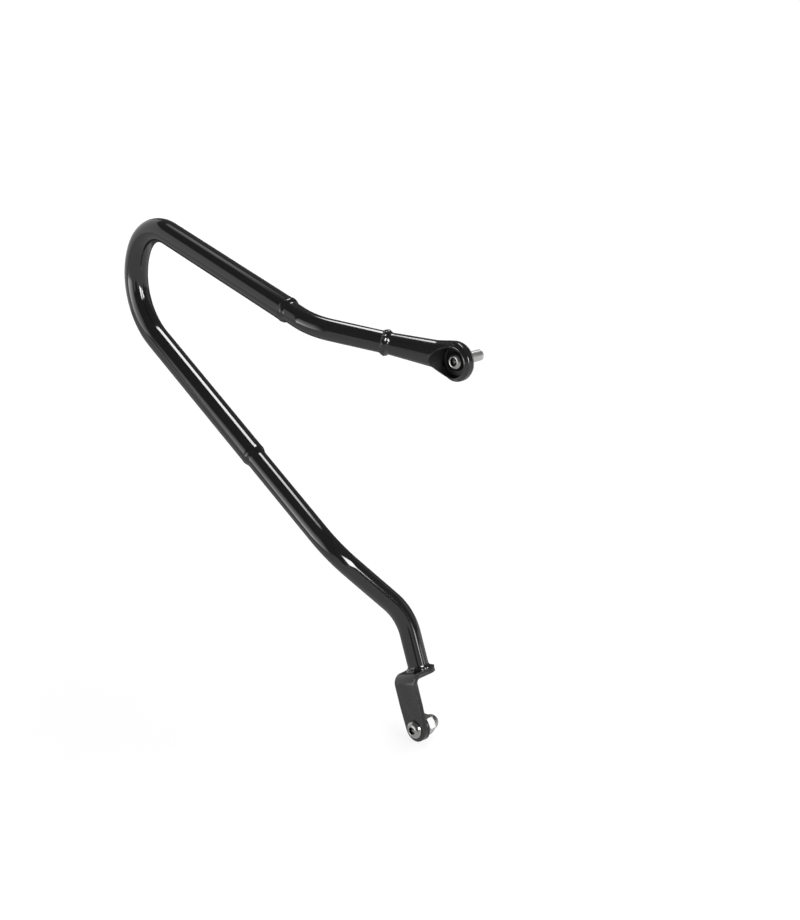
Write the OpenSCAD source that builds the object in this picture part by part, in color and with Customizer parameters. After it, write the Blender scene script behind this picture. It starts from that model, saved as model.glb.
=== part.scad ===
// Pannier frame for the right-hand side of a motorcycle.
// A hoop of 22 mm tube carries the pannier clear of the wheel, a 19 mm arm
// takes it forward to the upper bolt and a 19 mm leg takes it down to the
// lower bracket.
// X points to the front of the motorcycle, Y towards its centre and Z up.
// The origin is on the upper bolt's axis, on the face that meets the motorcycle.

/* [Tubes] */
// Outside diameter of the hoop tube
hoop_d = 22; // [20:0.5:26]
// Outside diameter of the arm and leg tubes
thin_d = 19; // [16:0.5:20]
// Wall of the arm and leg tubes
thin_wall = 2; // [1.5:0.25:3]
// Radial clearance between a thin tube and the hoop tube around it
sleeve_gap = 0.1; // [0.05:0.05:0.2]
// Length of thin tube inside each end of the hoop tube
sleeve_len = 25; // [15:1:40]

/* [Route] */
// Distance of the hoop's plane from the mounting face
hoop_out = 72; // [60:1:90]
// Forward place of the bend between hoop and arm
arm_bend_x = -104; // [-120:1:-90]
// Height of the bend between hoop and arm
arm_bend_z = 24; // [10:0.5:40]
// Forward place of the hoop's top rear bend
top_bend_x = -327.5; // [-360:0.5:-300]
// Height of the hoop's top rear bend
top_bend_z = 85; // [60:0.5:110]
// Forward place of the hoop's bottom rear bend
rear_bend_x = -368.5; // [-400:0.5:-350]
// Height of the hoop's bottom rear bend
rear_bend_z = 3.5; // [-20:0.5:20]
// Forward place of the bend between hoop and leg
leg_bend_x = -81.5; // [-100:0.5:-60]
// Height of the bend between hoop and leg
leg_bend_z = -176; // [-200:1:-150]
// Forward place of the leg's lower bend
foot_bend_x = -43.5; // [-60:0.5:-30]
// Sideways place of the leg's lower bend
foot_bend_y = -21; // [-30:1:-15]
// Height of the leg's lower bend
foot_bend_z = -239; // [-250:1:-225]
// Forward place of the leg's end on the bracket
foot_end_x = -29; // [-35:0.5:-22]
// Sideways place of the leg's end on the bracket
foot_end_y = -18; // [-25:0.5:-12]

/* [Bends] */
// Centreline radius of the arm's bend
arm_bend_r = 54; // [40:1:65]
// Centreline radius of the hoop's top rear bend
top_bend_r = 40; // [35:1:40]
// Centreline radius of the hoop's bottom rear bend
rear_bend_r = 63; // [45:1:63]
// Centreline radius of the bend between hoop and leg
leg_bend_r = 55; // [40:1:65]
// Centreline radius of the leg's lower bend
foot_bend_r = 60; // [40:1:65]

/* [Joints] */
// Distance from the arm's bend point back to the hoop tube's end
upper_step = 32; // [27:1:40]
// Distance from the leg's bend point back to the hoop tube's end
lower_step = 124; // [90:1:140]
// Length of the shoulder weld at the hoop tube's upper end
upper_shoulder = 5; // [4:0.5:8]
// Length of the shoulder weld at the hoop tube's lower end
lower_shoulder = 7; // [4:0.5:12]
// Distance from the arm's bend point to the joint with the end fitting
arm_joint = 64.5; // [55:0.5:75]
// Width of the weld ring at that joint
ring_w = 7; // [4:0.5:10]
// Height of the weld ring above the tube
ring_h = 1.4; // [0.8:0.1:2]
// Length of the fitting's spigot inside the arm tube
spigot_len = 14; // [8:1:25]
// Radial clearance of the spigot in the arm tube
spigot_gap = 0.1; // [0.05:0.05:0.3]
// Reach of the fillet weld at the foot of the leg
foot_weld = 4.4; // [2:0.2:5]

/* [Upper fitting] */
// Radius of the fitting's round face towards the motorcycle
drum_r = 17.2; // [15:0.1:22]
// Radius of the fitting's outer rim
rim_r = 15.2; // [14:0.1:20]
// Depth of the fitting from rim to inner face
drum_depth = 7.4; // [6:0.1:12]
// Radius of the pocket around the bolt's head
pocket_r = 13.2; // [10:0.1:13.6]
// Thickness left under the bolt's head
pocket_floor = 2.4; // [2:0.1:4]
// Radius of the fitting's neck where it meets the round face
neck_r = 11.6; // [10:0.1:13]
// Distance behind the bolt where the neck starts to widen
neck_back = 20; // [16:1:30]
// Reach of the flat inner face from the bolt towards the arm
heel_reach = 25; // [20:0.5:28]
// Radius of the inner face's end towards the arm
heel_r = 9; // [7:0.5:11]

/* [Lower bracket] */
// Width of the folded plate
plate_w = 25.4; // [23.6:0.2:34]
// Thickness of the folded plate
plate_t = 5; // [3:0.5:6]
// Inside radius of the fold
fold_r = 4; // [2:0.5:6]
// Lean of the plate from upright, its foot forward
plate_lean = 19.3; // [0:0.5:30]
// Distance of the plate's outer face from the leg's axis
plate_out = 22; // [20:0.5:30]
// Distance of the lower bolt below the flange's top
bolt_drop = 49.5; // [42:0.5:70]
// Radius of the plate's lower end around the bolt
plate_end_r = 11.6; // [10:0.2:11.8]
// Height above the bolt where the plate starts to narrow
plate_taper = 20; // [14:1:26]
// Reach of the flange's round end beyond the leg's axis
flange_reach = 14; // [12:0.5:20]
// Height of the flange's top at the leg's axis
flange_z = -289; // [-295:0.5:-280]
// Radius of the boss behind the plate
boss_r = 11.8; // [10.2:0.2:13]
// Length of the boss behind the plate
boss_len = 2.5; // [2:0.5:15]

/* [Fasteners] */
// Diameter of both bolts' shanks
bolt_d = 10; // [8:0.5:10]
// How much thinner the bolts are over their threads
thread_relief = 0.4; // [0.35:0.05:0.6]
// Radial clearance of a bolt in its hole
bolt_gap = 0.25; // [0.15:0.05:0.5]
// Diameter of the bolts' button heads
head_d = 16.5; // [14:0.5:18]
// Diameter of the flat top of the heads
head_top_d = 11; // [9:0.5:12]
// Height of the bolts' button heads
head_h = 4.6; // [4:0.1:6]
// Height of the straight rim of the heads
head_rim = 0.6; // [0.3:0.1:1]
// Width across the flats of the hexagon sockets
socket_af = 6; // [4:1:7]
// Depth of the hexagon sockets
socket_depth = 3.2; // [2:0.2:3.4]
// Length of the upper bolt beyond the mounting face
upper_reach = 25; // [15:1:40]
// Chamfer at the tip of each bolt
tip_chamfer = 1; // [0.5:0.1:1.5]
// Outside diameter of the mounting washer
washer_d = 32; // [24:1:34]
// Thickness of the mounting washer
washer_t = 2; // [1.5:0.5:3]
// Outside diameter of the washer under the nut
nut_washer_d = 20; // [18:0.5:22]
// Thickness of the washer under the nut
nut_washer_t = 2; // [1:0.5:3]
// Width across the flats of the nut
nut_af = 17; // [15:0.5:19]
// Height of the nut's hexagon
nut_h = 8.3; // [6:0.1:10]
// Diameter of the nut's dome
dome_d = 14.4; // [13.6:0.2:16]
// Height of the nut over its dome
nut_all = 17.5; // [16:0.5:22]
// Depth of the nut's thread
thread_depth = 12.5; // [11:0.5:13]
// Radial clearance between the nut and its bolt
nut_gap = 0.05; // [0.05:0.05:0.15]

/* [Hidden] */
$fn = 64;
CUT = 1;
FAR = 200;
// A bend is drawn this much thinner than the straight that laps over its end.
DRAW = 0.02;
LAP = 0.05;
hoop_r = hoop_d / 2;
thin_r = thin_d / 2;
thin_bore_r = thin_r - thin_wall;
hoop_bore_r = thin_r + sleeve_gap;
bolt_r = bolt_d / 2;
thread_r = bolt_r - thread_relief / 2;
hole_r = bolt_r + bolt_gap;

// Bend points along the tubes' centreline.
arm_bend = [arm_bend_x, -hoop_out, arm_bend_z];
top_bend = [top_bend_x, -hoop_out, top_bend_z];
rear_bend = [rear_bend_x, -hoop_out, rear_bend_z];
leg_bend = [leg_bend_x, -hoop_out, leg_bend_z];
foot_bend = [foot_bend_x, foot_bend_y, foot_bend_z];

function unit(v) = v / norm(v);
function toward(a, b, d) = a + d * unit(b - a);

// The arm runs to a point on the bolt's axis, inside the round face.
drum_mid_y = -washer_t - drum_depth / 2;
arm_rise = 1.8;
arm_in = 3;
arm_aim = [0, drum_mid_y + arm_in, arm_rise];
arm_dir = unit(arm_aim - arm_bend);
arm_end = arm_bend + arm_joint * arm_dir;
neck_point = arm_aim - neck_back * arm_dir;

// Ends of the hoop tube, and of the thin tubes inside it.
upper_end = toward(arm_bend, top_bend, upper_step);
upper_inside = toward(arm_bend, top_bend, upper_step + sleeve_len);
lower_end = toward(leg_bend, rear_bend, lower_step);
lower_inside = toward(leg_bend, rear_bend, lower_step + sleeve_len);

// The leg's centreline meets the bracket's top here.
foot_end = [foot_end_x, foot_end_y, flange_z];
foot_dir = unit(foot_end - foot_bend);
// Length that the leg and its weld are drawn past the bracket's top, before they are cut there.
foot_spare = 8;
weld_spare = 3;
// The end fitting's neck is round and straight this far beyond the weld ring.
neck_straight = 1;
// Place of the nut's seat along the lower bolt, from the plate's outer face, and the nut's turn.
nut_seat = plate_t + boss_len + nut_washer_t;
nut_turn = 32;
// A hull's faces stay this far inside the round ones beside them.
HULL_IN = 0.3;

// Places the child with its z along direction d and its x near direction s, at point p.
module placed(p, d, s) {
    z = unit(d);
    y = unit(cross(z, s));
    x = cross(y, z);
    multmatrix([[x[0], y[0], z[0], p[0]],
                [x[1], y[1], z[1], p[1]],
                [x[2], y[2], z[2], p[2]],
                [0, 0, 0, 1]])
        children();
}

// Unit vector from the path before a bend towards the bend's centre.
function turn(u, v) = unit(v - (v * u) * u);

// Length from a bend's corner point to where the bend starts.
function setback(u, v, r) = r * tan(acos(u * v) / 2);

module straight(a, b, r, side) {
    placed(a, b - a, side) cylinder(h = norm(b - a), r = r);
}

module bend(corner, u, v, bend_r, r) {
    t = turn(u, v);
    start = corner - setback(u, v, bend_r) * u;
    placed(start + bend_r * t, cross(u, t), -t)
        rotate_extrude(angle = acos(u * v)) translate([bend_r, 0]) circle(r = r - DRAW);
}

// A round rod along the corner points p, bent at each inner one to radius radii[i].
module bent_rod(p, radii, r) {
    n = len(p);
    dirs = [for (i = [0 : n - 2]) unit(p[i + 1] - p[i])];
    backs = [for (i = [1 : n - 2]) setback(dirs[i - 1], dirs[i], radii[i - 1])];
    for (i = [0 : n - 2]) {
        start = i == 0 ? p[0] : p[i] + (backs[i - 1] - LAP) * dirs[i];
        stop = i == n - 2 ? p[n - 1] : p[i + 1] - (backs[i] - LAP) * dirs[i];
        side = i == 0 ? turn(dirs[0], dirs[1]) : turn(dirs[i], dirs[i - 1]);
        straight(start, stop, r, side);
    }
    for (i = [1 : n - 2])
        bend(p[i], dirs[i - 1], dirs[i], radii[i - 1], r);
}

// The same rod as a tube, open at both ends.
module bent_tube(p, radii, r, bore_r) {
    n = len(p);
    longer = [for (i = [0 : n - 1])
        i == 0 ? toward(p[0], p[1], -CUT) : i == n - 1 ? toward(p[i], p[i - 1], -CUT) : p[i]];
    difference() {
        bent_rod(p, radii, r);
        bent_rod(longer, radii, bore_r);
    }
}

module hoop_tube() {
    color("#1b1c1e")
        bent_tube([upper_end, top_bend, rear_bend, lower_end], [top_bend_r, rear_bend_r],
                  hoop_r, hoop_bore_r);
}

module upper_arm_tube() {
    color("#222326")
        bent_tube([upper_inside, arm_bend, arm_end], [arm_bend_r], thin_r, thin_bore_r);
}

// Space below the flange's top, which ends the leg and its weld.
module below_flange() {
    bracket_frame() translate([-FAR / 2, -FAR / 2, -FAR]) cube(FAR);
}

module lower_leg_tube() {
    past_end = foot_end + foot_spare * foot_dir;
    color("#222326")
        difference() {
            bent_tube([lower_inside, leg_bend, foot_bend, past_end], [leg_bend_r, foot_bend_r],
                      thin_r, thin_bore_r);
            below_flange();
        }
}

// Rounded shoulder from the hoop tube's end down to the thin tube, z along the tube.
module shoulder(length) {
    steps = 8;
    step_h = hoop_r - thin_r;
    fall = [for (i = [0 : steps])
        [thin_r + step_h * cos(90 * i / steps), length * sin(90 * i / steps)]];
    rotate_extrude() polygon(concat([[thin_r, 0]], fall));
}

module upper_shoulder_weld() {
    color("#1b1c1e") placed(upper_end, arm_bend - upper_end, [0, 1, 0]) shoulder(upper_shoulder);
}

module lower_shoulder_weld() {
    color("#1b1c1e") placed(lower_end, leg_bend - lower_end, [0, 1, 0]) shoulder(lower_shoulder);
}

module arm_weld_ring() {
    steps = 10;
    bump = [for (i = [0 : steps])
        [thin_r + ring_h * sin(180 * i / steps), ring_w * (i / steps - 0.5)]];
    color("#222326") placed(arm_end, arm_dir, [0, 0, 1]) rotate_extrude() polygon(bump);
}

// The round face around the bolt, widening towards the motorcycle.
module drum(small) {
    translate([0, -washer_t, 0]) rotate([90, 0, 0])
        cylinder(h = drum_depth, r1 = drum_r - small, r2 = rim_r - small);
}

module upper_end_fitting() {
    neck_start = ring_w / 2 + neck_straight;
    neck_len = norm(neck_point - arm_end);
    color("#1e1f21")
        difference() {
            union() {
                placed(arm_end, arm_dir, [0, 0, 1]) {
                    translate([0, 0, -spigot_len]) cylinder(h = spigot_len, r = thin_bore_r - spigot_gap);
                    cylinder(h = neck_start, r = thin_r);
                    translate([0, 0, neck_start]) cylinder(h = neck_len - neck_start, r1 = thin_r, r2 = neck_r);
                }
                hull() {
                    placed(neck_point - arm_dir, arm_dir, [0, 0, 1])
                        cylinder(h = 1, r = neck_r - HULL_IN, $fn = 36);
                    drum(HULL_IN, $fn = 36);
                    translate([heel_r - heel_reach, -washer_t, arm_rise]) rotate([90, 0, 0])
                        cylinder(h = 1, r = heel_r, $fn = 32);
                }
                drum(0);
            }
            rotate([90, 0, 0]) cylinder(h = FAR, r = hole_r, center = true);
            translate([0, -washer_t - pocket_floor, 0]) rotate([90, 0, 0]) cylinder(h = FAR, r = pocket_r);
            translate([-FAR / 2, -washer_t, -FAR / 2]) cube(FAR);
        }
}

// A button-head bolt along z: its head below z = 0, a plain shank and a thread of slightly less diameter.
module button_bolt(shank, thread) {
    reach = shank + thread;
    top_r = head_top_d / 2;
    steps = 8;
    dome = [for (i = [0 : steps])
        [top_r + (head_d / 2 - top_r) * cos(90 * i / steps),
         -head_rim - (head_h - head_rim) * sin(90 * i / steps)]];
    difference() {
        rotate_extrude()
            polygon(concat([[0, -head_h], [0, reach], [thread_r - tip_chamfer, reach],
                            [thread_r, reach - tip_chamfer], [thread_r, shank], [bolt_r, shank],
                            [bolt_r, 0], [head_d / 2, 0]], dome));
        translate([0, 0, -head_h - CUT])
            cylinder(h = socket_depth + CUT, r = socket_af / 2 / cos(30), $fn = 6);
    }
}

module upper_bolt() {
    grip = washer_t + pocket_floor;
    color("#c9cbcd") translate([0, -grip, 0]) rotate([-90, 0, 0]) button_bolt(grip, upper_reach);
}

module mounting_washer() {
    color("#d2d3d4")
        rotate([90, 0, 0])
            difference() {
                cylinder(h = washer_t, r = washer_d / 2);
                translate([0, 0, -CUT]) cylinder(h = washer_t + 2 * CUT, r = hole_r);
            }
}

module foot_weld() {
    steps = 8;
    hollow = [for (i = [0 : steps])
        [thin_r + foot_weld * (1 - sin(90 * i / steps)), foot_weld * (1 - cos(90 * i / steps))]];
    color("#222326")
        difference() {
            placed(foot_end, -foot_dir, [1, 0, 0]) rotate_extrude()
                polygon(concat([[thin_r, -weld_spare], [thin_r + foot_weld, -weld_spare]], hollow));
            below_flange();
        }
}

// Bracket's own frame: origin on the flange's top at the leg, x across the plate.
module bracket_frame() {
    translate(foot_end) rotate([0, -plate_lean, 0]) children();
}

// Outline of the plate below its fold: straight sides that narrow to the round end.
module plate_outline() {
    half = plate_w / 2;
    ease = asin((half - plate_end_r) / plate_taper);
    difference() {
        translate([0, -bolt_drop]) {
            circle(r = plate_end_r);
            polygon([[-plate_end_r * cos(ease), -plate_end_r * sin(ease)],
                     [plate_end_r * cos(ease), -plate_end_r * sin(ease)],
                     [half, plate_taper], [half, bolt_drop], [-half, bolt_drop], [-half, plate_taper]]);
        }
        translate([-plate_w, -fold_r - plate_t]) square([2 * plate_w, FAR]);
    }
}

module lower_bracket() {
    bend_out = fold_r + plate_t;
    fold_y = -plate_out + bend_out;
    end_y = flange_reach - plate_w / 2;
    color("#1e1f21")
        bracket_frame() difference() {
            union() {
                translate([0, 0, -plate_t]) linear_extrude(plate_t) {
                    translate([0, end_y]) circle(r = plate_w / 2);
                    translate([-plate_w / 2, fold_y]) square([plate_w, end_y - fold_y]);
                }
                translate([-plate_w / 2, fold_y, -bend_out]) rotate([90, 0, 90])
                    quarter_fold(fold_r, plate_t, plate_w);
                translate([0, -plate_out + plate_t, 0]) rotate([90, 0, 0]) linear_extrude(plate_t)
                    plate_outline();
            }
            bolt_axis() cylinder(h = FAR, r = hole_r, center = true);
        }
}

// A quarter of a folded plate, around z, from inner radius r to r + t, of width w.
module quarter_fold(r, t, w) {
    rotate([0, 0, 90]) rotate_extrude(angle = 90) translate([r, 0]) square([t, w]);
}

// Places the child on the lower bolt's axis, z towards the motorcycle, z = 0 on the plate's outer face.
module bolt_axis() {
    translate([0, -plate_out, -bolt_drop]) rotate([-90, 0, 0]) children();
}

// A flat ring on the lower bolt, from its near face at z along the bolt's axis.
module bolt_ring(z, length, r) {
    bracket_frame() bolt_axis() translate([0, 0, z])
        difference() {
            cylinder(h = length, r = r);
            translate([0, 0, -CUT]) cylinder(h = length + 2 * CUT, r = hole_r);
        }
}

module bracket_boss() {
    color("#1e1f21") bolt_ring(plate_t, boss_len, boss_r);
}

module nut_washer() {
    color("#d2d3d4") bolt_ring(plate_t + boss_len, nut_washer_t, nut_washer_d / 2);
}

module lower_bolt() {
    color("#c9cbcd") bracket_frame() bolt_axis() button_bolt(nut_seat, thread_depth - tip_chamfer);
}

// A domed cap nut, its seat at z = 0.
module cap_nut() {
    corner_r = nut_af / 2 / cos(30);
    bevel = (corner_r - nut_af / 2) * tan(30);
    dome_r = dome_d / 2;
    dome_z = nut_all - dome_r;
    difference() {
        union() {
            intersection() {
                cylinder(h = nut_h, r = corner_r, $fn = 6);
                rotate_extrude()
                    polygon([[0, 0], [nut_af / 2, 0], [corner_r, bevel], [corner_r, nut_h - bevel],
                             [nut_af / 2, nut_h], [0, nut_h]]);
            }
            translate([0, 0, nut_h - CUT]) cylinder(h = dome_z - nut_h + CUT, r = dome_r);
            translate([0, 0, dome_z]) sphere(r = dome_r);
        }
        translate([0, 0, -CUT]) cylinder(h = thread_depth + CUT, r = thread_r + nut_gap);
    }
}

module lower_nut() {
    color("#d6d7d8")
        bracket_frame() bolt_axis() translate([0, 0, nut_seat]) rotate([0, 0, nut_turn]) cap_nut();
}

hoop_tube();
upper_arm_tube();
lower_leg_tube();
upper_shoulder_weld();
lower_shoulder_weld();
arm_weld_ring();
upper_end_fitting();
upper_bolt();
mounting_washer();
foot_weld();
lower_bracket();
bracket_boss();
lower_bolt();
nut_washer();
lower_nut();
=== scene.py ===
"""A pannier frame of bent black tube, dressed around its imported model. Lengths are metres unless said."""

import math

import bmesh
import bpy
from mathutils import Matrix, Vector, noise
from mathutils.bvhtree import BVHTree


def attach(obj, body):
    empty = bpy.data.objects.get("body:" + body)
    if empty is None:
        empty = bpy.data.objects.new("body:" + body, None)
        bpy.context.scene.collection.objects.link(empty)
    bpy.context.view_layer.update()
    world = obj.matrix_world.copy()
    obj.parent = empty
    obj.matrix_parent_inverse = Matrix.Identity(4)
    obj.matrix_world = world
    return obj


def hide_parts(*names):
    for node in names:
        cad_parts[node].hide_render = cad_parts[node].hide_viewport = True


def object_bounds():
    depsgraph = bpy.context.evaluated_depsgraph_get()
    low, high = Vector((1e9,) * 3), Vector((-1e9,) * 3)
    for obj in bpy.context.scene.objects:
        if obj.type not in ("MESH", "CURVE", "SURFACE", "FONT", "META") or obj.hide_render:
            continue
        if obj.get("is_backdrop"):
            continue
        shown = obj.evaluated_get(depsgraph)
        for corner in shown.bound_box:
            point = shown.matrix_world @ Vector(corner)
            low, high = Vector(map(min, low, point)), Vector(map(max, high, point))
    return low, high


MM = 0.001
ROUND = 96      # points around a turned form
TIP_R = 0.01    # radius in millimetres where a turned form closes

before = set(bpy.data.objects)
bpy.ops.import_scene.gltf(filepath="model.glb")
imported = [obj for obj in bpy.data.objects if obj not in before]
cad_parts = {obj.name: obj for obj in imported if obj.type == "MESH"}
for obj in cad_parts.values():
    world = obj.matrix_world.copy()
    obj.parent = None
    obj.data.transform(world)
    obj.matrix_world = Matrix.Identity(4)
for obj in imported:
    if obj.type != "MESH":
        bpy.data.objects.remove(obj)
cad_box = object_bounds()


def mm(x, y, z):
    return Vector((x, y, z)) * MM


# Tubes, in millimetres
HOOP_R = 11.0
THIN_R = 9.5
THIN_BORE_R = 7.5
HOOP_BORE_R = 9.6
SLEEVE = 25.0
UPPER_STEP = 32.0
LOWER_STEP = 124.0
ARM_JOINT = 64.5

# Bend points of the tubes' centreline
ARM_BEND = mm(-104, -72, 24)
TOP_BEND = mm(-327.5, -72, 85)
REAR_BEND = mm(-368.5, -72, 3.5)
LEG_BEND = mm(-81.5, -72, -176)
FOOT_BEND = mm(-43.5, -21, -239)
FOOT_END = mm(-29, -18, -289)
ARM_AIM = mm(0, -2.7, 1.8)

# Bend radii, in millimetres
ARM_BEND_R = 54.0
TOP_BEND_R = 40.0
REAR_BEND_R = 63.0
LEG_BEND_R = 55.0
FOOT_BEND_R = 60.0

# Welds, in millimetres
UPPER_SHOULDER = 5.0
LOWER_SHOULDER = 7.0
RING_WIDTH = 7.6
RING_HEIGHT = 1.7
FOOT_FILLET = 4.4
WELD_ROOT = 0.4

# End fitting and upper bolt, in millimetres
WASHER_T = 2.0
WASHER_R = 16.0
DRUM_DEPTH = 7.4
DRUM_R = 17.2
RIM_R = 15.2
POCKET_R = 13.2
POCKET_FLOOR = 2.4
NECK_R = 11.6
NECK_BACK = 20.0
NECK_START = 4.5
HEEL_R = 9.0
HEEL_REACH = 25.0
HEEL_RISE = 1.8
SPIGOT = 14.0
SPIGOT_R = 7.4
LIP_OUT = 0.5
LIP_R = 0.5
POCKET_FILLET = 1.5
HOLE_R = 5.25
BOLT_R = 5.0
THREAD_R = 4.8
UPPER_REACH = 25.0
HEAD_R = 8.25
HEAD_FACE_R = 4.8
HEAD_H = 4.6
SOCKET_AF = 6.0
SOCKET_DEPTH = 3.2

# Lower bracket and its hardware, in millimetres and degrees
PLATE_LEAN = 19.3
PLATE_OUT = 22.0
PLATE_T = 5.0
BOLT_DROP = 49.5
BOSS_R = 11.8
BOSS_LEN = 2.5
NUT_WASHER_R = 10.0
NUT_WASHER_T = 2.0
NUT_AF = 17.0
NUT_H = 8.3
DOME_R = 7.2
NUT_ALL = 17.5
NUT_TURN = 11.25
THREAD_DEPTH = 12.5


def toward(a, b, length):
    return a + (b - a).normalized() * length * MM


ARM_DIR = (ARM_AIM - ARM_BEND).normalized()
ARM_END = toward(ARM_BEND, ARM_AIM, ARM_JOINT)
NECK_POINT = ARM_AIM - ARM_DIR * NECK_BACK * MM
UPPER_END = toward(ARM_BEND, TOP_BEND, UPPER_STEP)
LOWER_END = toward(LEG_BEND, REAR_BEND, LOWER_STEP)
FOOT_DIR = (FOOT_END - FOOT_BEND).normalized()
LEAN = Matrix.Rotation(math.radians(-PLATE_LEAN), 3, "Y")
ACROSS = LEAN @ Vector((1, 0, 0))
INWARD = Vector((0, 1, 0))
LOWER_BOLT = FOOT_END + LEAN @ mm(0, -PLATE_OUT, -BOLT_DROP)
NUT_SEAT = PLATE_T + BOSS_LEN + NUT_WASHER_T


# Mesh building

def straight_run(a, b, step):
    count = max(1, math.ceil((b - a).length / step))
    direction = (b - a).normalized()
    return [(a.lerp(b, k / count), direction) for k in range(count)]


def bent_path(corners, radii, step=2 * MM):
    """Points and directions along the corner points, with each inner corner rounded to its radius."""
    path = []
    here = corners[0]
    for before, corner, after, radius in zip(corners, corners[1:], corners[2:], radii):
        u = (corner - before).normalized()
        v = (after - corner).normalized()
        angle = u.angle(v)
        r = radius * MM
        back = r * math.tan(angle / 2)
        side = (v - v.dot(u) * u).normalized()
        start = corner - back * u
        centre = start + r * side
        path += straight_run(here, start, step)
        count = max(2, math.ceil(angle * r / step))
        for k in range(count):
            a = angle * k / count
            point = centre - r * (math.cos(a) * side - math.sin(a) * u)
            path.append((point, math.cos(a) * u + math.sin(a) * side))
        here = corner + back * v
    path += straight_run(here, corners[-1], step)
    path.append((corners[-1], path[-1][1]))
    return path


def ring(centre, x, y, radius, count=ROUND):
    """A loop of points around centre. radius is in metres, or a function of the angle that gives metres."""
    points = []
    for k in range(count):
        a = math.tau * k / count
        r = radius(a) if callable(radius) else radius
        points.append(centre + r * (math.cos(a) * x + math.sin(a) * y))
    return points


def skin(name, rings, loop=False, capped=False):
    """A mesh of quads between the rings; loop joins the last to the first, capped closes both ends."""
    count = len(rings[0])
    points = [p for r in rings for p in r]
    faces = []
    for i in range(len(rings) - (0 if loop else 1)):
        j = (i + 1) % len(rings)
        for k in range(count):
            n = (k + 1) % count
            faces.append((i * count + k, i * count + n, j * count + n, j * count + k))
    if capped:
        faces.append(tuple(range(count)))
        faces.append(tuple(range((len(rings) - 1) * count, len(rings) * count)))
    mesh = bpy.data.meshes.new(name)
    mesh.from_pydata(points, [], faces)
    return tidy(mesh)


def tidy(mesh, angle=32):
    """The mesh, its doubles merged, its faces outward and smooth, its edges over the angle kept sharp."""
    bm = bmesh.new()
    bm.from_mesh(mesh)
    bmesh.ops.remove_doubles(bm, verts=bm.verts, dist=1e-7)
    bmesh.ops.recalc_face_normals(bm, faces=bm.faces)
    bm.to_mesh(mesh)
    bm.free()
    mesh.shade_smooth()
    mesh.set_sharp_from_angle(angle=math.radians(angle))
    return mesh


def turned(name, origin, axis, profile, x=None, capped=True, count=ROUND):
    """A turned form. profile has (radius, place along the axis) in millimetres; radius may be a function
    of the angle from x."""
    axis = axis.normalized()
    x = x or axis.orthogonal().normalized()
    y = axis.cross(x)
    rings = []
    for radius, along in profile:
        scaled = (lambda a, f=radius: f(a) * MM) if callable(radius) else radius * MM
        rings.append(ring(origin + axis * along * MM, x, y, scaled, count))
    return skin(name, rings, loop=not capped, capped=capped)


def arc(cx, cz, radius, start, stop, steps=6):
    """Profile points on an arc around (cx, cz), angles in degrees from the radial direction."""
    angles = [math.radians(start + (stop - start) * k / steps) for k in range(steps + 1)]
    return [(cx + radius * math.cos(a), cz + radius * math.sin(a)) for a in angles]


def bent_tube(name, corners, radii, r, bore):
    """A tube along the bent path, closed over its wall at both ends."""
    outer, inner = [], []
    x = None
    for point, direction in bent_path(corners, radii):
        x = (x - x.dot(direction) * direction).normalized() if x else direction.orthogonal().normalized()
        y = direction.cross(x)
        outer.append(ring(point, x, y, r * MM))
        inner.append(ring(point, x, y, bore * MM))
    return skin(name, outer + inner[::-1], loop=True)


def placed(name, data):
    """A new object in the scene, of a mesh or a camera's data."""
    obj = bpy.data.objects.new(name, data)
    bpy.context.scene.collection.objects.link(obj)
    return obj


def shape(mesh, *modifiers):
    """The mesh after the given modifiers, each a (type, {setting: value}) pair."""
    obj = placed("work", mesh)
    for kind, settings in modifiers:
        mod = obj.modifiers.new(kind, kind)
        for key, value in settings.items():
            setattr(mod, key, value)
    graph = bpy.context.evaluated_depsgraph_get()
    result = bpy.data.meshes.new_from_object(obj.evaluated_get(graph))
    bpy.data.objects.remove(obj)
    return result


def joined(name, meshes):
    """One mesh of all the meshes' faces."""
    bm = bmesh.new()
    for mesh in meshes:
        bm.from_mesh(mesh)
    result = bpy.data.meshes.new(name)
    bm.to_mesh(result)
    bm.free()
    return result


def cut(mesh, tool):
    """The mesh without the tool's space."""
    cutter = placed("cutter", tool)
    result = shape(mesh, ("BOOLEAN", {"operation": "DIFFERENCE", "solver": "EXACT", "object": cutter}))
    bpy.data.objects.remove(cutter)
    return result


def softened(mesh, voxel, rounds):
    """The mesh remeshed to even faces of about voxel millimetres, with its edges rounded by smoothing."""
    return shape(mesh,
                 ("REMESH", {"mode": "VOXEL", "voxel_size": voxel * MM}),
                 ("SMOOTH", {"factor": 0.5, "iterations": rounds}))


# Materials

def new_material(name, **settings):
    """A new material, its tree and its shader, with the shader's inputs set as named (_ for a space)."""
    mat = bpy.data.materials.new(name)
    mat.use_nodes = True
    shader = mat.node_tree.nodes["Principled BSDF"]
    for key, value in settings.items():
        shader.inputs[key.replace("_", " ")].default_value = value
    return mat, mat.node_tree, shader


def add(tree, kind, **settings):
    """A new node; each setting goes to its input of that name, or else to its property."""
    node = tree.nodes.new(kind)
    for key, value in settings.items():
        if key in node.inputs:
            node.inputs[key].default_value = value
        else:
            setattr(node, key, value)
    return node


def ramp(tree, source, low, high, start=0.3, stop=0.7):
    """A value from low to high as the source goes from start to stop."""
    node = add(tree, "ShaderNodeMapRange")
    node.inputs["From Min"].default_value = start
    node.inputs["From Max"].default_value = stop
    node.inputs["To Min"].default_value = low
    node.inputs["To Max"].default_value = high
    tree.links.new(source, node.inputs["Value"])
    return node.outputs["Result"]


def bump(tree, height, strength, distance, previous=None):
    """A normal bent by the height, on top of a previous normal if there is one."""
    node = add(tree, "ShaderNodeBump", Strength=strength, Distance=distance)
    tree.links.new(height, node.inputs["Height"])
    if previous:
        tree.links.new(previous, node.inputs["Normal"])
    return node.outputs["Normal"]


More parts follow.
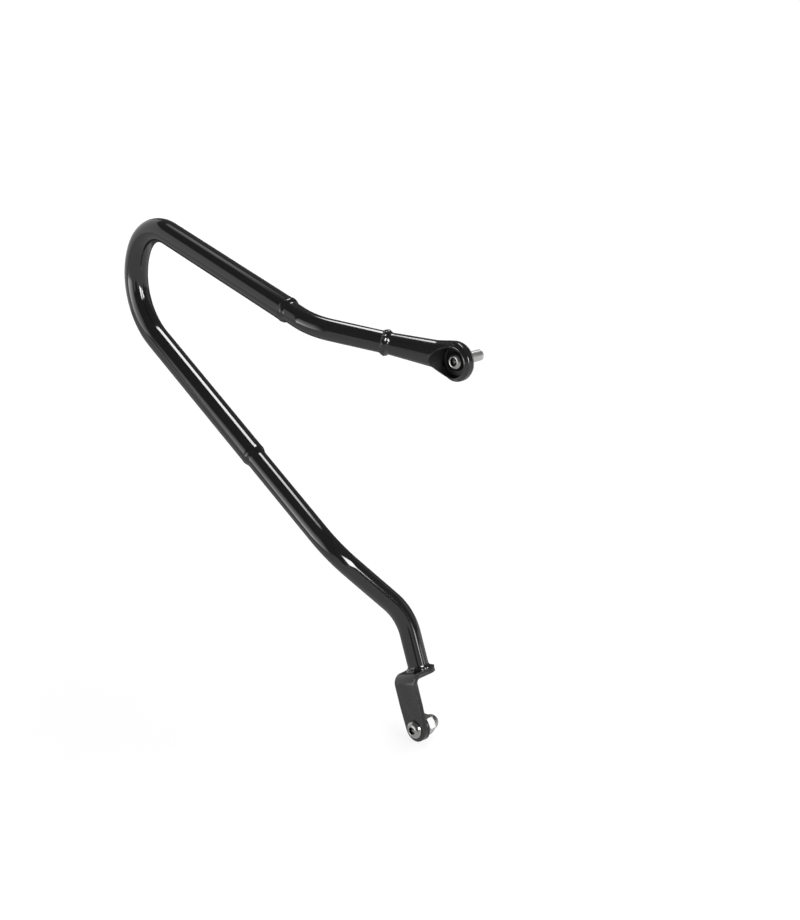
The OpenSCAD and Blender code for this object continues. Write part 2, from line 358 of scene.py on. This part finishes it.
def near_axis(tree, place, full, none):
    """1 within full of the Y axis through the place's origin, falling to 0 at none."""
    flat = add(tree, "ShaderNodeVectorMath", operation="MULTIPLY")
    flat.inputs[1].default_value = (1, 0, 1)
    tree.links.new(place, flat.inputs[0])
    away = add(tree, "ShaderNodeVectorMath", operation="LENGTH")
    tree.links.new(flat.outputs["Vector"], away.inputs[0])
    return ramp(tree, away.outputs["Value"], 1.0, 0.0, full, none)


def blend(tree, factor, a, b):
    """A number from a (a socket) to b (a constant) by the factor."""
    node = add(tree, "ShaderNodeMix", data_type="FLOAT")
    tree.links.new(factor, node.inputs["Factor"])
    tree.links.new(a, node.inputs["A"])
    node.inputs["B"].default_value = b
    return node.outputs["Result"]


def powder_coat(name, roughness, peel, pocket=False):
    """Black powder coat: near black, glossy, with a faint orange peel and dust-fine variation. With pocket,
    the coat is rougher inside the end fitting's pocket and on its lip, and its reflection there is turned
    down as painted shade."""
    mat, tree, shader = new_material(name, IOR=1.6)
    place = add(tree, "ShaderNodeTexCoord").outputs["Object"]
    coarse = add(tree, "ShaderNodeTexNoise", Scale=260.0, Detail=2.0)
    fine = add(tree, "ShaderNodeTexNoise", Scale=1500.0, Detail=3.0)
    for node in (coarse, fine):
        tree.links.new(place, node.inputs["Vector"])
    tone = add(tree, "ShaderNodeMix", data_type="RGBA")
    tone.inputs["A"].default_value = (0.0036, 0.0037, 0.0040, 1)
    tone.inputs["B"].default_value = (0.0062, 0.0062, 0.0064, 1)
    tree.links.new(coarse.outputs["Fac"], tone.inputs["Factor"])
    tree.links.new(tone.outputs["Result"], shader.inputs["Base Color"])
    rough = ramp(tree, fine.outputs["Fac"], roughness * 0.85, roughness * 1.2)
    if pocket:
        # Inside the pocket and on its lip: a rougher coat, and a weaker reflection that is painted shade.
        inside = near_axis(tree, place, (POCKET_R + 0.8) * MM, (POCKET_R + 1.2) * MM)
        rough = blend(tree, inside, rough, 0.42)
        full = add(tree, "ShaderNodeValue")
        full.outputs["Value"].default_value = 0.5
        tree.links.new(blend(tree, inside, full.outputs["Value"], 0.3), shader.inputs["Specular IOR Level"])
    tree.links.new(rough, shader.inputs["Roughness"])
    wavy = bump(tree, coarse.outputs["Fac"], peel, 0.0002)
    tree.links.new(bump(tree, fine.outputs["Fac"], peel * 0.5, 0.00005, wavy), shader.inputs["Normal"])
    return mat


def bright_steel(name, centre, tone, roughness, rings, socket=False):
    """Bright steel turned around the Y direction at centre; rings is the strength of its turning marks.
    With socket it is a bolt whose head is towards -Y: painted shade darkens the inside of the socket, and
    it is paler and duller on its free end."""
    mat, tree, shader = new_material(name, Metallic=1.0)
    place = add(tree, "ShaderNodeTexCoord").outputs["Object"]
    moved = add(tree, "ShaderNodeVectorMath", operation="SUBTRACT")
    moved.inputs[1].default_value = centre
    tree.links.new(place, moved.inputs[0])
    grain = add(tree, "ShaderNodeTexNoise", Scale=1800.0, Detail=3.0)
    tree.links.new(moved.outputs["Vector"], grain.inputs["Vector"])
    turning = add(tree, "ShaderNodeTexWave", wave_type="RINGS", rings_direction="Y",
                  Scale=900.0, Distortion=1.2)
    tree.links.new(moved.outputs["Vector"], turning.inputs["Vector"])
    colour = add(tree, "ShaderNodeMix", data_type="RGBA")
    colour.inputs["A"].default_value = (*[c * 0.86 for c in tone], 1)
    colour.inputs["B"].default_value = (*tone, 1)
    tree.links.new(grain.outputs["Fac"], colour.inputs["Factor"])
    tint = colour.outputs["Result"]
    rough = ramp(tree, grain.outputs["Fac"], roughness * 0.8, roughness * 1.25)
    if socket:
        split = add(tree, "ShaderNodeSeparateXYZ")
        tree.links.new(moved.outputs["Vector"], split.inputs["Vector"])
        head = ramp(tree, split.outputs["Y"], 1.0, 0.0, -0.2 * MM, 0.2 * MM)
        both = add(tree, "ShaderNodeMath", operation="MULTIPLY")
        tree.links.new(near_axis(tree, moved.outputs["Vector"], 3.35 * MM, 3.7 * MM), both.inputs[0])
        tree.links.new(head, both.inputs[1])
        # Painted shade: within the socket the colour falls to near black.
        dark = add(tree, "ShaderNodeMix", data_type="RGBA")
        tree.links.new(both.outputs["Value"], dark.inputs["Factor"])
        tree.links.new(tint, dark.inputs["A"])
        dark.inputs["B"].default_value = (0.07, 0.07, 0.07, 1)
        shank = ramp(tree, split.outputs["Y"], 0.0, 1.0, 0.5 * MM, 1.5 * MM)
        pale = add(tree, "ShaderNodeMix", data_type="RGBA")
        tree.links.new(shank, pale.inputs["Factor"])
        tree.links.new(dark.outputs["Result"], pale.inputs["A"])
        pale.inputs["B"].default_value = (0.6, 0.595, 0.585, 1)
        tint = pale.outputs["Result"]
        rough = blend(tree, shank, rough, 0.33)
    tree.links.new(tint, shader.inputs["Base Color"])
    tree.links.new(rough, shader.inputs["Roughness"])
    height = bump(tree, grain.outputs["Fac"], 0.06, 0.00005)
    tree.links.new(bump(tree, turning.outputs["Fac"], rings, 0.00005, height), shader.inputs["Normal"])
    return mat


GLOSS = powder_coat("gloss_black_coat", roughness=0.09, peel=0.04)
CAST = powder_coat("cast_black_coat", roughness=0.13, peel=0.1, pocket=True)
SATIN = powder_coat("satin_black_coat", roughness=0.28, peel=0.06)
BOLT_TONE = (0.38, 0.376, 0.37)
BOLT_STEEL_UP = bright_steel("upper_bolt_steel", mm(0, 0, 0), BOLT_TONE, roughness=0.2, rings=0.02,
                             socket=True)
BOLT_STEEL_LOW = bright_steel("lower_bolt_steel", LOWER_BOLT, BOLT_TONE, roughness=0.2, rings=0.02,
                              socket=True)
WASHER_STEEL = bright_steel("washer_steel", mm(0, 0, 0), (0.3, 0.3, 0.3), roughness=0.45, rings=0.25)
NUT_STEEL = bright_steel("nut_steel", LOWER_BOLT, (0.52, 0.516, 0.508), roughness=0.18, rings=0.02)


def piece(name, mesh, material, slot, *nodes):
    mesh.materials.clear()
    mesh.materials.append(material)
    obj = placed(name, mesh)
    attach(obj, "root")
    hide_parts(*nodes)
    return obj


# Tubes

upper_inside = toward(ARM_BEND, TOP_BEND, UPPER_STEP + SLEEVE)
lower_inside = toward(LEG_BEND, REAR_BEND, LOWER_STEP + SLEEVE)
piece("hoop_tube_coated",
      bent_tube("hoop", [UPPER_END, TOP_BEND, REAR_BEND, LOWER_END], [TOP_BEND_R, REAR_BEND_R],
                HOOP_R, HOOP_BORE_R),
      GLOSS, "gloss_black", "hoop_tube")
piece("upper_arm_coated",
      bent_tube("arm", [upper_inside, ARM_BEND, ARM_END], [ARM_BEND_R], THIN_R, THIN_BORE_R),
      GLOSS, "gloss_black", "upper_arm_tube")
piece("lower_leg_coated",
      bent_tube("leg", [lower_inside, LEG_BEND, FOOT_BEND, FOOT_END], [LEG_BEND_R, FOOT_BEND_R],
                THIN_R, THIN_BORE_R),
      GLOSS, "gloss_black", "lower_leg_tube")


# Welds

def lumpy(base, along, height, seed, ripples=0):
    """A radius that varies around the tube by a smooth noise and an optional ripple, in millimetres."""
    def radius(a):
        where = Vector((2.2 * math.cos(a), 2.2 * math.sin(a), 0.35 * along + seed))
        swell = 0.75 * noise.noise(where) + 0.35 * noise.noise(where * 2.7)
        if ripples:
            swell += 0.35 * math.sin(ripples * a + 1.3 * noise.noise(where * 1.5))
        return base + height * swell
    return radius


def bead(name, origin, axis, core_r, profile, height, seed, ripples=0):
    """A weld bead around a tube; profile gives (rise over core_r, place along the axis) in millimetres.
    It is flattened where it would stand out past the side of the part's own box."""
    outer = []
    for rise, along in profile:
        fade = min(1.0, rise / 0.6)
        outer.append((lumpy(core_r + rise, along, height * fade, seed, ripples), along))
    first, last = profile[0][1], profile[-1][1]
    inner = [(core_r - WELD_ROOT, last), (core_r - WELD_ROOT, first)]
    mesh = turned(name, origin, axis, outer + inner, capped=False, count=144)
    for vertex in mesh.vertices:
        vertex.co.y = max(vertex.co.y, cad_box[0][1])
    return mesh


def rounded_bump(width, height, steps=14):
    """The round section of a weld ring, centred on its joint."""
    return [(height * math.sin(math.pi * k / steps) ** 0.8, width * (k / steps - 0.5))
            for k in range(steps + 1)]


def step_down(length, drop, crest, steps=16):
    """The smooth fall of a shoulder weld, from inside the thick tube's wall over a low crest at its end."""
    profile = [(drop - 0.3, -4.5), (drop + crest * 0.6, -1.6)]
    for k in range(steps + 1):
        profile.append(((drop + crest) * (0.5 + 0.5 * math.cos(math.pi * k / steps)), length * k / steps))
    return profile


STEP_DROP = HOOP_R - THIN_R
piece("upper_shoulder_bead",
      bead("upper_shoulder", UPPER_END, ARM_BEND - UPPER_END, THIN_R,
           step_down(UPPER_SHOULDER, STEP_DROP, crest=0.4), height=0.3, seed=3.0),
      GLOSS, "gloss_black", "upper_shoulder_weld")
piece("lower_shoulder_bead",
      bead("lower_shoulder", LOWER_END, LEG_BEND - LOWER_END, THIN_R,
           step_down(LOWER_SHOULDER, STEP_DROP, crest=0.15), height=0.1, seed=11.0),
      GLOSS, "gloss_black", "lower_shoulder_weld")
piece("arm_ring_bead",
      bead("arm_ring", ARM_END, ARM_DIR, THIN_R, rounded_bump(RING_WIDTH, RING_HEIGHT), height=0.6,
           seed=5.0, ripples=12),
      GLOSS, "gloss_black", "arm_weld_ring")


def foot_bead():
    """The fillet weld at the leg's foot, flat on the bracket's leaning top."""
    steps = 14
    up = -FOOT_DIR
    x = (ACROSS - ACROSS.dot(up) * up).normalized()
    y = up.cross(x)
    normal = LEAN @ Vector((0, 0, 1))

    def seated(radius, height):
        """The ring of this radius around the leg, with its points at the height over the leaning top."""
        loop = []
        for p in ring(FOOT_END, x, y, radius):
            lift = -(p - FOOT_END).dot(normal) / up.dot(normal)
            loop.append(p + up * (lift + height * MM))
        return loop

    rings = []
    for k in range(steps + 1):
        t = math.radians(90 * k / steps)
        rise = FOOT_FILLET * (1 - math.sin(t))
        along = FOOT_FILLET * (1 - math.cos(t))
        radius = lumpy(THIN_R + rise, along, height=0.6 * min(1, rise), seed=8.0, ripples=20)
        rings.append(seated(lambda a, f=radius: f(a) * MM, along))
    core = [seated((THIN_R - WELD_ROOT) * MM, height) for height in (FOOT_FILLET, 0.0)]
    return skin("foot_weld", rings + core, loop=True)


piece("foot_weld_bead", foot_bead(), GLOSS, "gloss_black", "foot_weld")


# Cast end fitting

def hull(name, loops):
    bm = bmesh.new()
    verts = [bm.verts.new(p) for loop in loops for p in loop]
    bmesh.ops.convex_hull(bm, input=verts)
    bmesh.ops.delete(bm, geom=[v for v in bm.verts if not v.link_faces], context="VERTS")
    mesh = bpy.data.meshes.new(name)
    bm.to_mesh(mesh)
    bm.free()
    return tidy(mesh)


def pocket_lip(solid, radius, thick):
    """A low round lip along the pocket's edge, on the surface of the solid that the pocket is cut from."""
    surface = BVHTree.FromPolygons([v.co for v in solid.vertices], [p.vertices for p in solid.polygons])
    line = []
    count = 240
    for k in range(count):
        a = math.tau * k / count
        start = mm(radius * math.cos(a), -80, radius * math.sin(a))
        line.append(surface.ray_cast(start, INWARD)[0])
    rings = []
    for k, point in enumerate(line):
        along = (line[(k + 1) % count] - line[k - 1]).normalized()
        out = Vector((point.x, 0, point.z)).normalized()
        out = (out - out.dot(along) * along).normalized()
        rings.append(ring(point, out, along.cross(out), thick * MM, 12))
    return skin("lip", rings, loop=True)


def end_fitting():
    x, z = Vector((1, 0, 0)), Vector((0, 0, 1))
    neck_len = (NECK_POINT - ARM_END).length / MM
    neck = turned("neck", ARM_END, ARM_DIR,
                  [(SPIGOT_R - 1, -SPIGOT), (SPIGOT_R, -SPIGOT + 1), (SPIGOT_R, 0), (THIN_R, 0),
                   (THIN_R, NECK_START), (NECK_R, neck_len)])
    side = ARM_DIR.orthogonal().normalized()
    face_y, rim_y = -WASHER_T, -WASHER_T - DRUM_DEPTH
    body = hull("body", [
        ring(NECK_POINT, side, ARM_DIR.cross(side), NECK_R * MM),
        ring(mm(0, face_y, 0), x, z, DRUM_R * MM),
        ring(mm(0, rim_y, 0), x, z, RIM_R * MM),
        ring(mm(HEEL_R - HEEL_REACH, face_y, HEEL_RISE), x, z, HEEL_R * MM)])
    drum = turned("drum", mm(0, 0, 0), -INWARD,
                  arc(DRUM_R - 0.4, WASHER_T + 0.4, 0.4, -90, 0, 3)
                  + arc(DRUM_R - 2.0, WASHER_T + DRUM_DEPTH - 2.6, 2.0, 0, 30, 4)
                  + arc(RIM_R - 0.3, WASHER_T + DRUM_DEPTH - 0.3, 0.3, 30, 90, 3), count=160)
    soft = softened(joined("cast", [neck, body]), voxel=0.6, rounds=10)
    solid = softened(joined("fitting", [soft, drum]), voxel=0.4, rounds=1)
    lip = pocket_lip(solid, POCKET_R + LIP_OUT, LIP_R)
    pocket = turned("pocket", mm(0, -WASHER_T - POCKET_FLOOR, 0), -INWARD,
                    arc(POCKET_R - POCKET_FILLET, POCKET_FILLET, POCKET_FILLET, -90, 0, 10)
                    + [(POCKET_R, 60)])
    hole = turned("hole", mm(0, 5, 0), -INWARD, [(HOLE_R, 0), (HOLE_R, 30)])
    return softened(joined("fitting", [cut(cut(solid, pocket), hole), lip]), voxel=0.34, rounds=2)


piece("end_fitting_cast", end_fitting(), CAST, "satin_black", "upper_end_fitting")


# Bracket and boss

def coated_copy(node, edge):
    """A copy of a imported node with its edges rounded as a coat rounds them; edge is in millimetres."""
    bm = bmesh.new()
    bm.from_mesh(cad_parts[node].data)
    bmesh.ops.remove_doubles(bm, verts=bm.verts, dist=1e-6)
    bmesh.ops.dissolve_limit(bm, angle_limit=math.radians(0.5), verts=bm.verts, edges=bm.edges)
    mesh = bpy.data.meshes.new(node + "_copy")
    bm.to_mesh(mesh)
    bm.free()
    return tidy(shape(mesh, ("BEVEL", {"width": edge * MM, "segments": 3, "limit_method": "ANGLE",
                                       "angle_limit": math.radians(40)})))


def flat_ring(name, origin, inner_r, outer_r, thickness, edge):
    """A washer-like ring along +Y from origin, its four edges rounded."""
    profile = (arc(outer_r - edge, edge, edge, -90, 0)
               + arc(outer_r - edge, thickness - edge, edge, 0, 90)
               + arc(inner_r + edge, thickness - edge, edge, 90, 180)
               + arc(inner_r + edge, edge, edge, 180, 270))
    return turned(name, origin, INWARD, profile, capped=False, count=128)


piece("bracket_coated", coated_copy("lower_bracket", edge=0.5), SATIN, "satin_black", "lower_bracket")
piece("boss_coated",
      flat_ring("boss", LOWER_BOLT + INWARD * PLATE_T * MM, HOLE_R, BOSS_R, BOSS_LEN, edge=0.7),
      SATIN, "satin_black", "bracket_boss")


# Bolts, washers and nut

def hexagon(across, turn=0.0):
    """A radius function for a hexagon of the given width across its flats, in millimetres."""
    def radius(a):
        sector = (a - math.radians(turn)) % (math.tau / 6) - math.tau / 12
        return across / 2 / math.cos(sector)
    return radius


def button_bolt(name, seat, x, shank, reach):
    """A button-head bolt along +Y: its head on seat, a plain shank, then the slimmer free end."""
    chamfer, rim, edge = 0.9, 0.6, 0.25
    corner = SOCKET_AF / 2 / math.cos(math.radians(30))
    top, end = -HEAD_H, shank + reach
    profile = [(TIP_R, end), (THREAD_R - chamfer, end), (THREAD_R, end - chamfer), (THREAD_R, shank),
               (BOLT_R, shank), (BOLT_R, 0)]
    profile += arc(HEAD_R - edge, -edge, edge, 90, 0, 4)
    # The dome, an arc from the rim to the flat face
    bulge = math.radians(30)
    across, rise = HEAD_R - HEAD_FACE_R, HEAD_H - rim
    lean = math.atan2(across, rise)
    curve = math.hypot(across, rise) / 2 / math.sin(bulge)
    turns = [lean + bulge * (k / 6 - 1) for k in range(13)]
    profile += [(HEAD_R + curve * (math.cos(t) - math.cos(turns[0])),
                 -rim - curve * (math.sin(t) - math.sin(turns[0]))) for t in turns]
    # The face, its countersink and the socket
    profile += [(HEAD_FACE_R - 0.15, top), (corner + 0.35, top), (corner + 0.2, top + 0.08),
                (hexagon(SOCKET_AF + 0.2), top + 0.4), (hexagon(SOCKET_AF), top + 0.8),
                (hexagon(SOCKET_AF), top + SOCKET_DEPTH),
                (hexagon(SOCKET_AF * 0.7), top + SOCKET_DEPTH + 0.5), (TIP_R, top + SOCKET_DEPTH + 1.2)]
    return turned(name, seat, INWARD, profile, x=x)


upper_seat = mm(0, -WASHER_T - POCKET_FLOOR, 0)
piece("upper_bolt_steel_piece",
      button_bolt("upper_bolt", upper_seat, Vector((1, 0, 0)), WASHER_T + POCKET_FLOOR, UPPER_REACH),
      BOLT_STEEL_UP, "bright_steel", "upper_bolt")
piece("mounting_washer_steel",
      flat_ring("washer", mm(0, -WASHER_T, 0), HOLE_R, WASHER_R, WASHER_T, edge=0.35),
      WASHER_STEEL, "bright_steel", "mounting_washer")
piece("lower_bolt_steel_piece",
      button_bolt("lower_bolt", LOWER_BOLT, ACROSS, NUT_SEAT, THREAD_DEPTH - 1),
      BOLT_STEEL_LOW, "bright_steel", "lower_bolt")
piece("nut_washer_steel",
      flat_ring("nut_washer", LOWER_BOLT + INWARD * (PLATE_T + BOSS_LEN) * MM, HOLE_R, NUT_WASHER_R,
                NUT_WASHER_T, edge=0.4),
      NUT_STEEL, "bright_steel", "nut_washer")


def cap_nut(name, seat, x):
    """A domed cap nut along +Y from its seat, its hexagon's corners cut back by the chamfers."""
    corner = NUT_AF / 2 / math.cos(math.radians(30))
    slope = math.tan(math.radians(30))
    flat = hexagon(NUT_AF, 30 - NUT_TURN)
    face_r = NUT_AF / 2 - 0.35
    groove_r = DOME_R - 0.3

    def section(along):
        limit = face_r + min(along, NUT_H - along) / slope
        return lambda a: min(flat(a), limit) if limit < corner else flat(a)

    profile = [(THREAD_R + 0.05, THREAD_DEPTH), (THREAD_R + 0.05, 0.0)]
    steps = 40
    profile += [(section(NUT_H * k / steps), NUT_H * k / steps) for k in range(steps + 1)]
    neck_z = NUT_ALL - DOME_R
    profile += [(groove_r, NUT_H), (groove_r, NUT_H + 0.5), (DOME_R, NUT_H + 0.8), (DOME_R, neck_z)]
    turns = [math.radians(90 * k / 16) for k in range(1, 17)]
    profile += [(max(TIP_R, DOME_R * math.cos(a)), neck_z + DOME_R * math.sin(a)) for a in turns]
    return turned(name, seat, INWARD, profile, x=x, count=192)


piece("cap_nut_steel", cap_nut("cap_nut", LOWER_BOLT + INWARD * NUT_SEAT * MM, ACROSS),
      NUT_STEEL, "bright_steel", "lower_nut")


# Stage: floor, backdrop, soft boxes and the camera

TARGET = Vector((-0.2, -0.06, -0.08))
FLOOR_GAP = 0.0015
WHITE = (1, 1, 1, 1)


def glow_material():
    """Light of the strength that a mesh carries in its "glow" attribute."""
    mat = bpy.data.materials.new("glow")
    mat.use_nodes = True
    tree = mat.node_tree
    tree.nodes.clear()
    source = add(tree, "ShaderNodeAttribute", attribute_name="glow")
    light = add(tree, "ShaderNodeEmission")
    out = add(tree, "ShaderNodeOutputMaterial")
    tree.links.new(source.outputs["Fac"], light.inputs["Strength"])
    tree.links.new(light.outputs["Emission"], out.inputs["Surface"])
    return mat


GLOW = glow_material()


def soft_box(name, corners, strength, edge=0.08, distance=8.0, centre=TARGET, steps=40):
    """A glowing sheet between four corners, given as directions from centre: bottom left, bottom right,
    top right and top left. strength is a function of (across, up), each from 0 to 1, and edge is how much
    of the sheet its soft border takes."""
    bl, br, tr, tl = [Vector(c) for c in corners]
    points, glow = [], []
    for j in range(steps + 1):
        v = j / steps
        for i in range(steps + 1):
            u = i / steps
            points.append(centre + distance * bl.lerp(br, u).lerp(tl.lerp(tr, u), v))
            border = min(u, v, 1 - u, 1 - v) / edge if edge else 1.0
            glow.append(strength(u, v) * max(0.0, min(1.0, border)))
    row = steps + 1
    faces = [(j * row + i, j * row + i + 1, (j + 1) * row + i + 1, (j + 1) * row + i)
             for j in range(steps) for i in range(steps)]
    mesh = bpy.data.meshes.new(name)
    mesh.from_pydata(points, [], faces)
    mesh.attributes.new("glow", "FLOAT", "POINT").data.foreach_set("value", glow)
    mesh.materials.append(GLOW)
    obj = placed(name, mesh)
    obj.visible_camera = False
    obj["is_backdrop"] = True


def soft_boxes():
    # In front, towards -Y: brightest at its lower left, dim at its top
    soft_box("front_box", [(-0.78, -1, -0.28), (0.32, -1, -0.22), (0.3, -1, 0.6), (-0.45, -1, 0.55)],
             lambda u, v: (4.4 * (1 - 0.65 * u) * (1.05 - 0.92 * v) * (1 + 2.6 * max(0, 0.35 - v) * (1 - u))
                           * min(1, (1.02 - u) / 0.3)), edge=0.03)
    # At the right, towards +X: the tilted main box, near the part, and a strip at the horizon
    soft_box("side_box", [(1, -0.3, 0.0), (1, 0.187, 0.12), (1, 0.373, 0.45), (1, -0.26, 0.5)],
             lambda u, v: 21.0 - 5.0 * v, edge=0.05, distance=1.5)
    soft_box("side_strip", [(1, 0.05, -0.03), (1, 0.27, -0.03), (1, 0.27, 0.025), (1, 0.05, 0.025)],
             lambda u, v: 9.0, edge=0.2)
    # A small white card by the nut, that one of its flats mirrors
    soft_box("nut_card", [(1, 0.7, 0.3), (1, 1.03, 0.3), (1, 1.03, 0.63), (1, 0.7, 0.63)],
             lambda u, v: 3.2, edge=0.1, distance=0.11, centre=LOWER_BOLT + mm(8, 14, 4), steps=8)
    # Overhead: the brightest box and the dim one beside it
    soft_box("ceiling_box", [(0.19, 0.12, 1), (0.11, 0.55, 1), (-0.72, 1.05, 1), (-0.4, 0.42, 1)],
             lambda u, v: (15.5 - 6.5 * v) * min(1, 0.5 + 2.5 * v), edge=0.04)
    soft_box("ceiling_dim_box", [(-0.44, -0.08, 1), (-0.5, 0.5, 1), (-0.66, 0.5, 1), (-0.6, -0.08, 1)],
             lambda u, v: 1.5, edge=0.3)
    # White walls behind the part and at its left
    soft_box("rear_wall", [(-1, 0.5, -0.35), (-1, -1.55, -0.3), (-1, -1.55, 0.86), (-1, 0.5, 0.95)],
             lambda u, v: 0.9, edge=0.02, distance=12.0)
    soft_box("far_wall", [(0.95, 1, -0.05), (-0.3, 1, -0.05), (-0.3, 1, 0.42), (0.95, 1, 0.45)],
             lambda u, v: 0.6 - 0.4 * u, edge=0.2, distance=12.0)


def plain_sheet(name, points, faces, mat):
    mesh = bpy.data.meshes.new(name)
    mesh.from_pydata(points, [], faces)
    mesh.materials.append(mat)
    obj = placed(name, mesh)
    obj.visible_glossy = False
    obj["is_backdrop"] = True
    return obj


def floor():
    """The pale floor. Gloss doesn't see it, as the studio around the part stands in for it there."""
    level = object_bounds()[0][2] - FLOOR_GAP
    half = 20.0
    mat, tree, shader = new_material("pale_floor", Roughness=1.0, Base_Color=(0.16, 0.16, 0.16, 1),
                                     Specular_IOR_Level=0.0, Emission_Color=WHITE)
    place = add(tree, "ShaderNodeTexCoord").outputs["Object"]
    far = add(tree, "ShaderNodeVectorMath", operation="LENGTH")
    tree.links.new(place, far.inputs[0])
    glow = ramp(tree, far.outputs["Value"], low=0.84, high=0.99, start=0.5, stop=4.0)
    tree.links.new(glow, shader.inputs["Emission Strength"])
    corners = [(-half, -half, level), (half, -half, level), (half, half, level), (-half, half, level)]
    plain_sheet("floor", corners, [(0, 1, 2, 3)], mat)


def backdrop():
    """A white wall all around, far behind, that only the camera sees."""
    mat = new_material("white_backdrop", Roughness=1.0, Base_Color=(0, 0, 0, 1), Specular_IOR_Level=0.0,
                       Emission_Color=WHITE, Emission_Strength=0.99)[0]
    low, high, radius, count = -1.0, 30.0, 19.0, 48
    corners = [(radius * math.cos(math.tau * k / count), radius * math.sin(math.tau * k / count))
               for k in range(count)]
    points = [(x, y, low) for x, y in corners] + [(x, y, high) for x, y in corners]
    faces = [(k, (k + 1) % count, count + (k + 1) % count, count + k) for k in range(count)]
    faces.append(tuple(range(count, 2 * count)))
    wall = plain_sheet("backdrop", points, faces, mat)
    wall.visible_diffuse = False
    wall.visible_shadow = False


def studio():
    """What gloss sees around the soft boxes: a pale ground, a dim room above and a dark corner behind."""
    world = bpy.data.worlds.new("studio")
    world.use_nodes = True
    tree = world.node_tree
    background = tree.nodes["Background"]
    place = add(tree, "ShaderNodeTexCoord").outputs["Generated"]
    split = add(tree, "ShaderNodeSeparateXYZ")
    tree.links.new(place, split.inputs["Vector"])
    ground = ramp(tree, split.outputs["X"], 0.55, 0.74, -0.9, -0.2)
    # Dark patches: (direction, cosine at the patch's rim, cosine where it is full)
    for direction, rim, full in (((-0.77, 0.48, -0.42), 0.84, 0.96), ((-0.5, 0.86, -0.1), 0.87, 0.95),
                                 ((0.73, -0.68, -0.06), 0.982, 0.99), ((0.86, 0.5, 0.01), 0.985, 0.992)):
        near = add(tree, "ShaderNodeVectorMath", operation="DOT_PRODUCT")
        near.inputs[1].default_value = direction
        tree.links.new(place, near.inputs[0])
        shaded = add(tree, "ShaderNodeMath", operation="MULTIPLY")
        tree.links.new(ground, shaded.inputs[0])
        tree.links.new(ramp(tree, near.outputs["Value"], 1.0, 0.15, rim, full), shaded.inputs[1])
        ground = shaded.outputs["Value"]
    above = ramp(tree, split.outputs["Z"], 0.0, 1.0, -0.012, 0.0)
    grey = add(tree, "ShaderNodeMix", data_type="FLOAT")
    tree.links.new(above, grey.inputs["Factor"])
    tree.links.new(ground, grey.inputs["A"])
    grey.inputs["B"].default_value = 0.14
    tree.links.new(grey.outputs["Result"], background.inputs["Strength"])
    background.inputs["Color"].default_value = WHITE
    bpy.context.scene.world = world


def camera():
    """The photograph's own view: its place, angle and lens, for a frame of 800 by 920."""
    place = mm(923.3, -1005.2, 376.1)
    azimuth, elevation = math.radians(44.687), math.radians(18.806)
    focal_px, frame_w, sensor = 1684.1, 800, 36.0
    back = Vector((math.sin(azimuth) * math.cos(elevation), -math.cos(azimuth) * math.cos(elevation),
                   math.sin(elevation)))
    right = Vector((math.cos(azimuth), math.sin(azimuth), 0))
    up = back.cross(right)
    data = bpy.data.cameras.new("camera")
    data.sensor_fit = "HORIZONTAL"
    data.sensor_width = sensor
    data.lens = focal_px * sensor / frame_w
    data.clip_end = 200.0
    obj = placed("camera", data)
    turn = Matrix((right, up, back)).transposed().to_4x4()
    obj.matrix_world = Matrix.Translation(place) @ turn
    bpy.context.scene.camera = obj


floor()
backdrop()
studio()
soft_boxes()
camera()
bpy.context.scene.view_settings.view_transform = "Standard"
